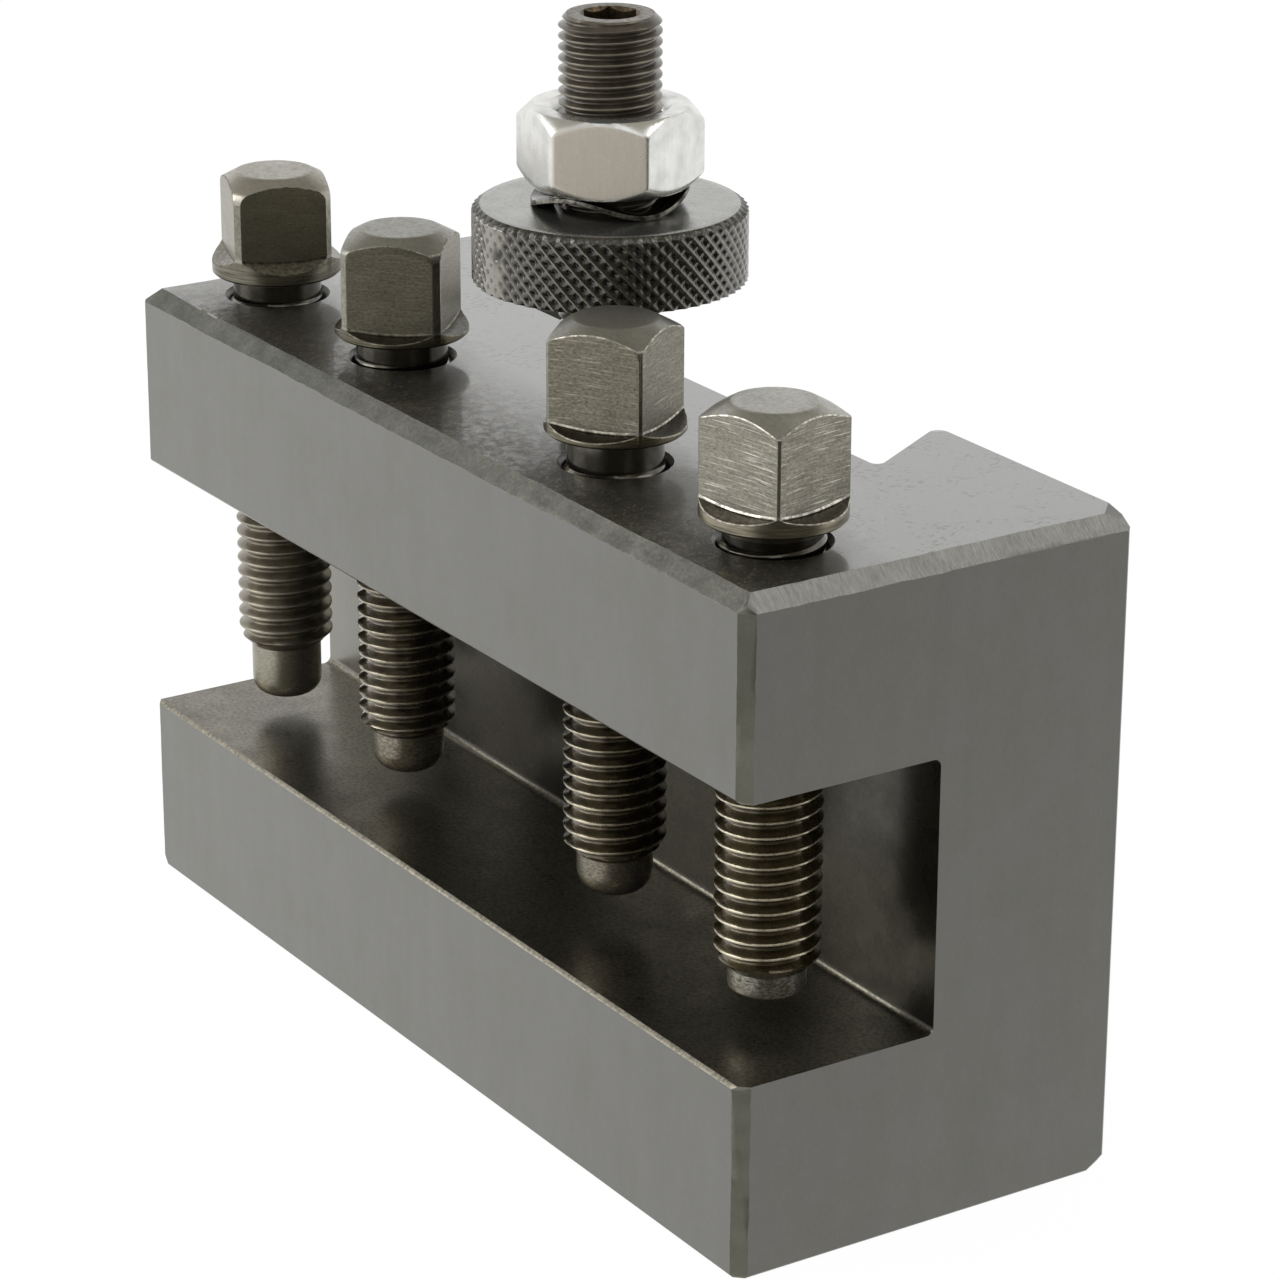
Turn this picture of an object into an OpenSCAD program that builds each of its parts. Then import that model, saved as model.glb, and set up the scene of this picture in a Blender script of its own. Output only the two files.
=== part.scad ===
// Quick-change turning tool holder: a slotted steel block with a dovetail
// back, four square-head clamp screws and a height stud with its collar.
// Origin at the centre of the base, X along the tool, Y from front to back.

/* [Block] */
// Length of the block, along the tool
block_l = 113; // [108:0.5:130]
// Depth of the block, from the front face to the back face
block_w = 42.5; // [40:0.5:52]
// Height of the block
block_h = 66; // [60:0.5:80]
// Width of the ground chamfers along the front and end edges of the top
top_chamfer = 1.5; // [0.5:0.1:2.5]
// Width of the chamfer down each corner: front left, front right, back right, back left
corner_chamfer = [0.4, 1.2, 0.5, 0.5]; // [0.2:0.1:2.5]
// Width of the chamfers around the base
base_chamfer = 0.2; // [0.1:0.1:2]

/* [Tool slot] */
// Height of the slot's floor above the base
slot_floor_z = 19.3; // [16:0.1:23]
// Height of the slot, floor to ceiling
slot_h = 27.4; // [22:0.1:28]
// Depth of the slot from the front face
slot_depth = 21.5; // [20:0.1:23]
// Radius in the slot's two inner corners
slot_corner_r = 0.8; // [0.3:0.1:2]
// Width of the small bevels along the slot's two front edges
slot_bevel = 0.35; // [0.1:0.05:1]

/* [Dovetail groove] */
// Width of the groove at the back face
dovetail_mouth = 52.9; // [46:0.1:60]
// Depth of the groove
dovetail_depth = 11.7; // [9:0.1:13]
// Angle between the groove's floor and its flanks
dovetail_angle = 60; // [50:1:75]
// Radius on the groove's two lips
dovetail_lip_r = 1.0; // [0.4:0.1:1.6]
// Radius in the groove's two inner corners
dovetail_root_r = 0.8; // [0.3:0.1:1.5]

/* [Clamp screws] */
// Distance of the outer screws from the block's ends, on average
screw_inset = 10.6; // [9:0.05:13]
// Shift of the whole row towards the left end
screw_row_shift = 1.1; // [0:0.05:1.8]
// Spacing of the two screws of each pair
screw_pitch = 26.05; // [20:0.05:28]
// Distance of the row from the front face
screw_row_y = 10.95; // [8.5:0.05:13]
// Diameter over the thread
screw_d = 10; // [8:0.1:11]
// Height of each head's underside above the block
screw_lift = [2.5, 2.45, 3.2, 2.2]; // [0.5:0.05:6]
// Height of each tip above the slot's floor
tip_height = [2.05, 2.2, 3.2, 3.15]; // [0.1:0.05:6]
// Turn of each head about its own axis, in degrees
screw_turn = [70.9, 46.5, 32.3, 13.6]; // [0:0.1:90]
// Diameter of the plain neck under the head
screw_neck_d = 9.2; // [6.5:0.1:9.4]
// Length of the plain neck
screw_neck_l = 5.5; // [3:0.1:8]
// Diameter of the dog point
screw_dog_d = 7.4; // [5:0.1:7.8]
// Length of each dog point, worn down to different lengths
screw_dog_l = [5.8, 4.4, 4.1, 2.2]; // [2:0.1:7]
// Rounding on the end of each dog point
tip_round = [1.8, 2.2, 2.2, 0.4]; // [0.2:0.1:2.6]
// Radial running clearance of every thread
thread_gap = 0.06; // [0.02:0.01:0.1]

/* [Screw heads] */
// Height of the whole head
head_h = 10.8; // [8:0.1:13]
// Diameter that the head was turned to before its flats were milled
head_d = 13.5; // [12.6:0.1:13.8]
// Width over the flats of each head
head_af = [10.15, 10.15, 9.8, 9.75]; // [9.5:0.05:10.4]
// Height at which the flats of each head stop and leave a round flange
head_foot = [2, 0.95, 0.95, 1.5]; // [0.8:0.05:3]
// Slope of each flange's ledges, falling outwards, in degrees
ledge_fall = [22, 12, 10, 9]; // [4:1:30]
// Diameter of the flat disc on top of the head
head_disc_d = 8; // [6:0.1:9.4]
// Slope of the cone around that disc, in degrees
head_cone = 29; // [15:1:40]

/* [Height stud] */
// Distance of the stud's axis from the front face
stud_y = 22.3; // [21.5:0.05:23]
// Diameter over the stud's thread
stud_d = 10; // [8:0.1:10.4]
// Height of the stud above the block
stud_stand = 37.6; // [34:0.1:45]
// Depth of the stud in the block
stud_sink = 13; // [10:0.5:15]
// Width over the flats of the stud's hexagon socket
socket_af = 5; // [4:0.1:5.6]
// Depth of the socket
socket_depth = 6; // [3:0.5:9]

/* [Collar, washer and nut] */
// Height of the collar's underside above the block
collar_gap = 11.5; // [6:0.1:13]
// Diameter of the collar over its knurl
collar_d = 26.9; // [22:0.1:28]
// Thickness of the collar
collar_h = 7.5; // [5:0.1:9]
// Number of knurl pits around the collar
knurl_count = 58; // [36:1:70]
// Depth of the knurl
knurl_depth = 0.42; // [0.15:0.01:0.6]
// Width of the collar's top bevel
collar_bevel = 0.5; // [0.2:0.05:1]
// Outer diameter of the wave washer
washer_d = 15.4; // [14:0.1:18]
// Thickness of the washer's metal
washer_t = 0.5; // [0.3:0.05:0.8]
// Height of the washer over its waves
washer_h = 2.05; // [1.2:0.05:2.6]
// Width over the flats of the lock nut
nut_af = 16; // [15:0.1:18]
// Thickness of the lock nut
nut_h = 7.7; // [6:0.1:8.6]
// Turn of the nut about the stud, in degrees
nut_turn = 19.95; // [0:0.05:60]
// Slope of the cones that the nut's two ends were turned to, in degrees
nut_slope = 50; // [20:1:60]

/* [Hidden] */
$fn = 96;
over = 1;                            // how far a cut runs past a face
front_y = -block_w / 2;
back_y = block_w / 2;
slot_top_z = slot_floor_z + slot_h;
screw_y = front_y + screw_row_y;
screw_x1 = -block_l / 2 + screw_inset - screw_row_shift;
screw_x4 = block_l / 2 - screw_inset - screw_row_shift;
screw_x = [screw_x1, screw_x1 + screw_pitch, screw_x4 - screw_pitch, screw_x4];
screw_bore_d = screw_d + 2 * thread_gap;
under_head_z = [for (lift = screw_lift) block_h + lift];
screw_l = [for (i = [0 : 3]) under_head_z[i] - slot_floor_z - tip_height[i]];
lead_in = 0.45;                      // bevel at the mouth of a tapped hole
flange_edge = 0.25;                  // bevel under a head's flange
neck_root = 0.7;                     // how far the neck runs on into the head
stud_axis_y = front_y + stud_y;
stud_bevel = 0.75;                   // bevel on both ends of the stud
stud_bore_d = stud_d + 2 * thread_gap;
drill_d = 7;                         // flat seat left around the drill's cone
drill_tip = 118;                     // point angle of the drill
collar_z = block_h + collar_gap;
collar_foot = 0.15;                  // bevel around the collar's underside
collar_top_z = collar_z + collar_h;
washer_bore_d = stud_d + 0.8;
washer_waves = 3;
washer_high = 297;                   // direction of one of the wave's crests
washer_steps = 72;
nut_seat = 0.03;                     // gap between the washer's crests and the nut
nut_z = collar_top_z + washer_h + nut_seat;
nut_face_d = nut_af * 0.96;          // flat ring on each end of the nut
nut_reach = 0.4;                     // how far its turned outline passes its corners
nut_mouth = 0.9;                     // countersink at each end of the nut

// Rounding where two straight edges meet: the wedge between the corner and
// an arc that touches both edges. Edge directions are given in degrees.
module corner_wedge(corner, dir_a, dir_b, r) {
    half = abs(dir_b - dir_a) / 2;
    reach = r / tan(half);
    mid = (dir_a + dir_b) / 2;
    difference() {
        polygon([corner,
                 corner + reach * [cos(dir_a), sin(dir_a)],
                 corner + reach * [cos(dir_b), sin(dir_b)]]);
        translate(corner + r / sin(half) * [cos(mid), sin(mid)])
            circle(r, $fn = 64);
    }
}

// The block seen from above, with its vertical corners chamfered
module plan_outline() {
    x = block_l / 2;
    c = corner_chamfer;
    polygon([[-x + c[0], front_y], [x - c[1], front_y], [x, front_y + c[1]],
             [x, back_y - c[2]], [x - c[2], back_y], [-x + c[3], back_y],
             [-x, back_y - c[3]], [-x, front_y + c[0]]]);
}

// The block seen from its end: the top chamfer is on the front edge only
module end_outline() {
    b = base_chamfer;
    polygon([[front_y + b, 0], [back_y - b, 0], [back_y, b], [back_y, block_h],
             [front_y + top_chamfer, block_h], [front_y, block_h - top_chamfer],
             [front_y, b]]);
}

// The block seen from the front
module front_outline() {
    x = block_l / 2;
    b = base_chamfer;
    t = top_chamfer;
    polygon([[-x + b, 0], [x - b, 0], [x, b], [x, block_h - t],
             [x - t, block_h], [-x + t, block_h], [-x, block_h - t], [-x, b]]);
}

// Turns an outline drawn in Y and Z and runs it along X
module along_x(len) {
    rotate([90, 0, 90]) translate([0, 0, -len / 2]) linear_extrude(len) children();
}

// Turns an outline drawn in X and Z and runs it along Y
module along_y(len) {
    rotate([90, 0, 0]) translate([0, 0, -len / 2]) linear_extrude(len) children();
}

module block_blank() {
    intersection() {
        linear_extrude(block_h) plan_outline();
        along_x(block_l + 2 * over) end_outline();
        along_y(block_w + 2 * over) front_outline();
    }
}

// Tool slot, drawn in Y and Z: inner corners rounded, front edges bevelled
module slot_outline() {
    inner_y = front_y + slot_depth;
    difference() {
        translate([front_y - over, slot_floor_z]) square([slot_depth + over, slot_h]);
        corner_wedge([inner_y, slot_floor_z], 90, 180, slot_corner_r);
        corner_wedge([inner_y, slot_top_z], 180, 270, slot_corner_r);
    }
    polygon([[front_y - over, slot_floor_z - slot_bevel - over],
             [front_y + slot_bevel, slot_floor_z],
             [front_y + slot_bevel, slot_top_z],
             [front_y - over, slot_top_z + slot_bevel + over]]);
}

// Dovetail groove, drawn in X and Y: wider at its floor than at its mouth
module dovetail_outline() {
    mouth = dovetail_mouth / 2;
    floor_y = back_y - dovetail_depth;
    spread = dovetail_depth / tan(dovetail_angle);
    wide = mouth + spread;
    past = over / tan(dovetail_angle);
    difference() {
        polygon([[-wide, floor_y], [wide, floor_y],
                 [mouth, back_y], [mouth, back_y + over],
                 [-mouth, back_y + over], [-mouth, back_y]]);
        corner_wedge([wide, floor_y], 180 - dovetail_angle, 180, dovetail_root_r);
        corner_wedge([-wide, floor_y], 0, dovetail_angle, dovetail_root_r);
    }
    corner_wedge([mouth, back_y], -dovetail_angle, 0, dovetail_lip_r);
    corner_wedge([-mouth, back_y], 180, 180 + dovetail_angle, dovetail_lip_r);
}

// A round hole down through the upper jaw, bevelled at its mouth
module jaw_hole(d, depth) {
    translate([0, 0, block_h - depth]) cylinder(d = d, h = depth + over);
    translate([0, 0, block_h - lead_in])
        cylinder(d1 = d, d2 = d + 2 * lead_in, h = lead_in);
}

module holder_body() {
    color([0.27, 0.27, 0.25])
    difference() {
        block_blank();
        along_x(block_l + 2 * over) slot_outline();
        translate([0, 0, -over]) linear_extrude(block_h + 2 * over) dovetail_outline();
        for (x = screw_x)
            translate([x, screw_y, 0])
                jaw_hole(screw_bore_d, block_h - slot_top_z + over);
        translate([0, stud_axis_y, 0]) {
            jaw_hole(stud_bore_d, stud_sink);
            drill_h = drill_d / 2 / tan(drill_tip / 2);
            translate([0, 0, block_h - stud_sink - drill_h])
                cylinder(d1 = 0, d2 = drill_d, h = drill_h);
        }
    }
}

// Everything of a screw that was turned on a lathe below its head, tip at zero.
// The neck runs on into the head, so that the two join in one solid.
module screw_shank(len, dog_l, tip) {
    dog_r = screw_dog_d / 2;
    r = screw_d / 2;
    neck_r = screw_neck_d / 2;
    neck_z = len - screw_neck_l;
    neck_top = len + neck_root;
    knee = tip * (1 - cos(45));
    rotate_extrude()
        polygon([[0, 0], [dog_r - tip, 0], [dog_r - knee, knee],
                 [dog_r, tip], [dog_r, dog_l],
                 [r, dog_l + r - dog_r], [r, neck_z - (r - neck_r)],
                 [neck_r, neck_z], [neck_r, neck_top], [0, neck_top]]);
}

// Head turned from bar: a cylinder with a cone around its top disc
module head_blank() {
    r = head_d / 2;
    disc_r = head_disc_d / 2;
    cone_h = (r - disc_r) * tan(head_cone);
    rotate_extrude()
        polygon([[0, 0], [r - flange_edge, 0], [r, flange_edge], [r, head_h - cone_h],
                 [disc_r, head_h], [0, head_h]]);
}

// What the milling leaves of the head: a square prism, and a low pyramid whose
// sides come out of its flats at the foot's height and fall away outwards
module milled_square(af, foot, fall) {
    half = af / 2;
    spread = foot / tan(fall);
    translate([-half, -half, 0]) cube([af, af, head_h + over]);
    rotate(45)
        cylinder(r1 = (half + spread) * sqrt(2), r2 = (half - over) * sqrt(2),
                 h = foot + over * tan(fall), $fn = 4);
}

module clamp_screw(i) {
    color([0.36, 0.35, 0.31])
    translate([screw_x[i], screw_y, under_head_z[i]]) {
        translate([0, 0, -screw_l[i]]) screw_shank(screw_l[i], screw_dog_l[i], tip_round[i]);
        intersection() {
            head_blank();
            rotate(screw_turn[i])
                milled_square(head_af[i], head_foot[i], ledge_fall[i]);
        }
    }
}

module height_stud() {
    r = stud_d / 2;
    len = stud_sink + stud_stand;
    socket_r = socket_af / 2 / cos(30);
    color([0.22, 0.21, 0.18])
    translate([0, stud_axis_y, block_h - stud_sink])
    difference() {
        rotate_extrude()
            polygon([[0, 0], [r - stud_bevel, 0], [r, stud_bevel],
                     [r, len - stud_bevel], [r - stud_bevel, len], [0, len]]);
        translate([0, 0, len - socket_depth])
            cylinder(r = socket_r, h = socket_depth + over, $fn = 6);
        translate([0, 0, len - socket_r + socket_af / 2])
            cylinder(r1 = socket_af / 2, r2 = socket_r, h = socket_r - socket_af / 2);
    }
}

// Knurled rim as a solid disc. High and low points alternate around each ring
// and from ring to ring, so straight ridges cross each other between the pits.
function knurl_r(i, j) = collar_d / 2 - ((i + j) % 2 == 0 ? 0 : knurl_depth);

function ring(r, z, n) = [for (i = [0 : n - 1]) [r * cos(360 * i / n), r * sin(360 * i / n), z]];

module knurled_disc() {
    n = 2 * knurl_count;
    band = collar_h - collar_foot - collar_bevel;
    rows = round(band / (PI * collar_d / n));
    rim = [for (j = [0 : rows]) for (i = [0 : n - 1])
        let (r = knurl_r(i, j), a = 360 * i / n)
        [r * cos(a), r * sin(a), collar_foot + band * j / rows]];
    inner_r = collar_d / 2 - knurl_depth;
    points = concat(ring(inner_r - collar_foot, 0, n), rim,
                    ring(inner_r - collar_bevel * 0.6, collar_h, n));
    top = rows + 2;
    sides = [for (j = [0 : top - 1]) for (i = [0 : n - 1])
        let (k = (i + 1) % n,
             a = j * n + i, b = j * n + k, c = (j + 1) * n + k, d = (j + 1) * n + i,
             lean = (i + j) % 2 == 1)
        each (lean ? [[a, d, c], [a, c, b]] : [[a, d, b], [b, d, c]])];
    polyhedron(points, concat([[for (i = [0 : n - 1]) i]], sides,
                              [[for (i = [n - 1 : -1 : 0]) top * n + i]]));
}

module knurled_collar() {
    color([0.19, 0.19, 0.17])
    translate([0, stud_axis_y, collar_z])
    difference() {
        knurled_disc();
        translate([0, 0, -over]) cylinder(d = stud_bore_d, h = collar_h + 2 * over);
    }
}

// Wave washer: a flat ring whose height follows a cosine with three crests
module wave_washer() {
    n = washer_steps;
    lift = (washer_h - washer_t) / 2;
    function wave(i) = lift * (1 + cos(washer_waves * (360 * i / n - washer_high)));
    function loop(r, z) = [for (i = [0 : n - 1])
        [r * cos(360 * i / n), r * sin(360 * i / n), z + wave(i)]];
    ri = washer_bore_d / 2;
    ro = washer_d / 2;
    points = concat(loop(ri, 0), loop(ro, 0), loop(ro, washer_t), loop(ri, washer_t));
    sides = [for (j = [0 : 3]) for (i = [0 : n - 1])
        let (k = (i + 1) % n, m = (j + 1) % 4,
             a = j * n + i, b = j * n + k, c = m * n + k, d = m * n + i)
        each [[a, d, b], [b, d, c]]];
    color([0.2, 0.2, 0.18])
    translate([0, stud_axis_y, collar_top_z]) polyhedron(points, sides);
}

// Hexagon nut with both ends turned to a cone and its thread countersunk
module lock_nut() {
    corner_r = nut_af / 2 / cos(30);
    face_r = nut_face_d / 2;
    reach_r = corner_r + nut_reach;
    drop = (reach_r - face_r) * tan(nut_slope);
    color([0.72, 0.71, 0.67])
    translate([0, stud_axis_y, nut_z])
    difference() {
        intersection() {
            rotate(nut_turn + 30) cylinder(r = corner_r, h = nut_h, $fn = 6);
            rotate_extrude()
                polygon([[0, 0], [face_r, 0], [reach_r, drop],
                         [reach_r, nut_h - drop], [face_r, nut_h], [0, nut_h]]);
        }
        translate([0, 0, -over]) cylinder(d = stud_bore_d, h = nut_h + 2 * over);
        cylinder(d1 = stud_bore_d + 2 * nut_mouth, d2 = stud_bore_d, h = nut_mouth);
        translate([0, 0, nut_h - nut_mouth])
            cylinder(d1 = stud_bore_d, d2 = stud_bore_d + 2 * nut_mouth, h = nut_mouth);
    }
}

holder_body();
clamp_screw(0);  // clamp_screw_1
clamp_screw(1);  // clamp_screw_2
clamp_screw(2);  // clamp_screw_3
clamp_screw(3);  // clamp_screw_4
height_stud();
knurled_collar();
wave_washer();
lock_nut();
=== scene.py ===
import math
import bmesh
import bpy
import numpy as np
from mathutils import Matrix


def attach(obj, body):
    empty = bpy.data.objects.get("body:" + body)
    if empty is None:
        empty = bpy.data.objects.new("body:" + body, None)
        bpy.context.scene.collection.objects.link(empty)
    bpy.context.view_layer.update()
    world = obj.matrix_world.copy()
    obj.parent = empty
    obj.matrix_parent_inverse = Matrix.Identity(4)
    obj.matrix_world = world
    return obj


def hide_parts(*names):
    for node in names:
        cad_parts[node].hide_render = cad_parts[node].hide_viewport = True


# Quick-change turning tool holder. Pieces are worked out in millimetres and put down in metres.
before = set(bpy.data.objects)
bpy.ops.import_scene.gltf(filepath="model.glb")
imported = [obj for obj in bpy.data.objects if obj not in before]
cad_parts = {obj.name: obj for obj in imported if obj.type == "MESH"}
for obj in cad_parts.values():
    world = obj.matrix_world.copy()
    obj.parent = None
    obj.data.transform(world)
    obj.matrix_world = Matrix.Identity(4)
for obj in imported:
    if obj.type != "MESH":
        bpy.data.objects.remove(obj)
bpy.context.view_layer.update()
mm = 0.001
turn = 2 * math.pi
rightAngle = math.pi / 2
chartRadius = 5.0  # turned pieces' maps are measured round this radius
weldReach = 2e-6  # points nearer than this, in metres, become one


def softMin(a, b, width):
    # Smaller of a and b, joined by a parabola where they are within width of each other
    share = np.clip(0.5 + 0.5 * (b - a) / width, 0, 1)
    return b * (1 - share) + a * share - width * share * (1 - share)


def ease(t):
    # 3t^2 - 2t^3 between 0 and 1
    t = np.clip(t, 0, 1)
    return t * t * (3 - 2 * t)


def wander(where, seed, steps):
    # Sum of products of a sine and a slower cosine: each step is (wavelength, height) in millimetres
    slower = 2.7
    shift = np.random.RandomState(seed).uniform(0, turn, (len(steps), 2))
    total = np.zeros_like(where, dtype=float)
    for (length, height), (first, second) in zip(steps, shift):
        swell = np.cos(turn * where / (length * slower) + second)
        total += height * np.sin(turn * where / length + first) * swell
    return total


def rowsOf(profile, angle):
    # Radii and heights of (radius, height) rows at every angle; either may vary with it
    return [np.stack([np.broadcast_to(row[part], angle.shape) for row in profile]) for part in (0, 1)]


def chartOf(angle, height):
    # Map of a turned piece: arc length, and height or what stands in for it
    return np.stack([np.broadcast_to(angle * chartRadius, height.shape), height], axis=-1)


def beltOf(radius, height, angle, finish, centre, chart=None):
    # x = cx + r cos a, y = cy + r sin a, z = cz + h
    points = np.stack([centre[0] + radius * np.cos(angle), centre[1] + radius * np.sin(angle),
                       centre[2] + height], axis=-1)
    return points, chartOf(angle, height) if chart is None else chart, finish


def belt(profile, angle, finish, centre):
    # Profile of (radius, height) rows turned about an upright axis
    radius, height = rowsOf(profile, angle)
    return beltOf(radius, height, angle, finish, centre)


def makeMesh(name, belts, creases=38):
    # Quads between the rows and columns of every belt; points that coincide are merged
    points = np.concatenate([b[0].reshape(-1, 3) for b in belts])
    chart = np.concatenate([b[1].reshape(-1, 2) for b in belts])
    faces, finishes, start = [], [], 0
    for grid, _, finish in belts:
        rows, columns = grid.shape[:2]
        index = start + np.arange(rows * columns).reshape(rows, columns)
        quads = np.stack([index[:-1, :-1], index[:-1, 1:], index[1:, 1:], index[1:, :-1]], axis=-1)
        faces.append(quads.reshape(-1, 4))
        finishes.append(np.broadcast_to(finish, quads.shape[:2]).ravel())
        start += rows * columns
    faces = np.concatenate(faces)
    mesh = bpy.data.meshes.new(name)
    mesh.from_pydata((points * mm).tolist(), [], faces.tolist())
    mesh.uv_layers.new(name="chart").data.foreach_set("uv", chart[faces.ravel()].ravel())
    mesh.polygons.foreach_set("material_index", np.concatenate(finishes).astype(np.int32))
    work = bmesh.new()
    work.from_mesh(mesh)
    bmesh.ops.remove_doubles(work, verts=work.verts, dist=weldReach)
    work.to_mesh(mesh)
    work.free()
    mesh.shade_smooth()
    mesh.set_sharp_from_angle(angle=math.radians(creases))
    return mesh


def add(name, data):
    made = bpy.data.objects.new(name, data)
    bpy.context.scene.collection.objects.link(made)
    return made


def place(name, mesh, body, node, finishes):
    piece = add(name, mesh)
    for finish in finishes:
        mesh.materials.append(finish)
    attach(piece, body)
    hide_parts(node)
    print(name, len(mesh.polygons), "faces")
    return piece


def newFinish(name, metallic, roughness, coat=0.0, coatRoughness=0.1):
    finish = bpy.data.materials.new(name)
    finish.use_nodes = True
    shader = finish.node_tree.nodes["Principled BSDF"]
    shader.inputs["Metallic"].default_value = metallic
    shader.inputs["Roughness"].default_value = roughness
    shader.inputs["Coat Weight"].default_value = coat
    shader.inputs["Coat Roughness"].default_value = coatRoughness
    return finish, finish.node_tree, shader


def put(tree, kind, values, output=0, **settings):
    # One node: values by input, as numbers or as links
    made = tree.nodes.new("ShaderNode" + kind)
    for key, value in settings.items():
        setattr(made, key, value)
    for key, value in values.items():
        if isinstance(value, bpy.types.NodeSocket):
            tree.links.new(value, made.inputs[key])
        else:
            made.inputs[key].default_value = value
    return made.outputs[output]


def placeIn(tree, stretch=(1, 1, 1), shift=(0, 0, 0), source="Object"):
    # Coordinates in millimetres for Object, as they are for UV, then stretched and shifted
    scale = 1000 if source == "Object" else 1
    found = put(tree, "TexCoord", {}, output=source)
    return put(tree, "Mapping", {0: found, 1: shift, 3: [scale * s for s in stretch]})


def axisOf(tree, where, axis):
    # One of the three numbers of a place
    return put(tree, "SeparateXYZ", {0: where}, output=axis)


def grain(tree, scale, detail=3, rough=0.55, **where):
    # Noise over a piece, placed as placeIn takes it
    where = placeIn(tree, **where)
    return put(tree, "TexNoise", {"Vector": where, "Scale": scale, "Detail": detail, "Roughness": rough})


def ramp(tree, amount, low, high, fromValue=0.0, toValue=1.0, kind="LINEAR"):
    # From fromValue at low to toValue at high, and level beyond
    values = {0: amount, 1: low, 2: high, 3: fromValue, 4: toValue}
    return put(tree, "MapRange", values, interpolation_type=kind)


def tint(tree, amount, first, second, kind="MIX"):
    return put(tree, "Mix", {0: amount, 6: (*first, 1) if isinstance(first, tuple) else first,
                             7: (*second, 1) if isinstance(second, tuple) else second},
               output=2, data_type="RGBA", blend_type=kind)


def sums(tree, kind, first, second):
    return put(tree, "Math", {0: first, 1: second}, operation=kind)


def toward(tree, where, direction):
    # How far a place lies in a direction
    return put(tree, "VectorMath", {0: where, 1: direction}, output=1, operation="DOT_PRODUCT")


def bumped(tree, shader, height, depth, coat=False):
    # depth in millimetres; the oil film above follows it too when coat is set
    normal = put(tree, "Bump", {"Strength": 1.0, "Distance": depth * mm, "Height": height})
    tree.links.new(normal, shader.inputs["Normal"])
    if coat:
        tree.links.new(normal, shader.inputs["Coat Normal"])


def feed(tree, shader, colour, roughness, **others):
    tree.links.new(colour, shader.inputs["Base Color"])
    tree.links.new(roughness, shader.inputs["Roughness"])
    for name, value in others.items():
        tree.links.new(value, shader.inputs[name.replace("_", " ")])


def times(tree, colour, factor):
    # Colour times a number
    grey = put(tree, "CombineColor", {0: factor, 1: factor, 2: factor})
    return tint(tree, 1.0, colour, grey, "MULTIPLY")


def lighter(tree, colour, amount, share):
    # Colour times 1 - share to 1 + share, for faint changes of tone
    return times(tree, colour, ramp(tree, amount, 0.3, 0.7, 1 - share, 1 + share))


def scaled(colour, share):
    return tuple(share * c for c in colour)


tones = {
    "ground": (0.228, 0.226, 0.207), "oiled": (0.168, 0.168, 0.156), "oilAndShadeDark": (0.06, 0.055, 0.04),
    "paintedDarkReflection": (0.045, 0.043, 0.032), "oilGold": (0.3, 0.25, 0.145), "swarf": (0.55, 0.52, 0.44),
    # The front chamfer's tone, about half the end chamfer's, is painted shade
    "endChamfer": (0.2, 0.2, 0.187), "frontChamfer": (0.098, 0.098, 0.085),
    # The slot's back wall tone is darkened with painted shade, and lifted out of it at the left end
    "corner": (0.2, 0.197, 0.16), "slotFloor": (0.22, 0.204, 0.16), "shadedSlotWall": (0.05, 0.048, 0.039),
    "slotDark": (0.075, 0.068, 0.05), "slotWallUnshaded": (0.25, 0.245, 0.215), "edge": (0.2, 0.195, 0.17),
    "rubbed": (0.48, 0.455, 0.38),
    # Ground faces: painted shade along the length, darker towards the right end, as (from, to, tone there,
    # tone here), and a painted light that steps the end face up
    "fall": (-50.0, 52.0, 1.07, 0.87), "endPaintedLight": (56.2, 56.4, 0.0, 0.21),
    # Where the oil dulls and painted dark reflection darkens the top, towards the front (where the golden
    # dust lies too) and less at the left end; and where the slot wall grows lighter towards its left end, out
    # of its painted shade
    "dustAndReflectionFront": (-3.0, -16.0), "dullAndReflectionLeft": (-57.0, -44.0, 0.3, 1.0), "wallShadeFadesLeft": (-55.0, -15.0)}

block = {
    "length": 113.0, "depth": 42.5, "height": 66.0, "topChamfer": 1.5, "corner": [0.4, 1.2],
    "slotFloor": 19.3, "slotCeiling": 46.7, "slotBack": 0.25, "edge": 0.08,
    "holes": [-47.0, -20.95, 18.75, 44.8], "holeRow": -10.3, "holeRadius": 5.06,
    # Cuts across each chamfer, how its borders wander, and how long they take to begin
    "cut": 0.7, "wobble": [(37, 0.08), (13, 0.06), (4.3, 0.04), (1.6, 0.03)], "calmEnds": 3.0,
    # Worn corners: where the cut plane passes, and its direction
    "worn": [((52.8, 21.25, 66.0), (0.25, 0.25, 0.935)), ((54.8, 21.25, 65.47), (0.5, 0.5, 0.707)),
             ((56.0, 21.25, 64.62), (0.75, 0.5, 0.43)), ((56.5, 21.25, 1.7), (0.4, 0.2, -0.3)),
             ((55.6, 21.25, 0.0), (0.3, 0.2, -0.7)), ((-56.5, -21.25, 1.6), (-0.4, -0.1, -0.3)),
             ((-55.5, -21.25, 0.0), (-0.3, -0.1, -0.6))]}


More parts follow.
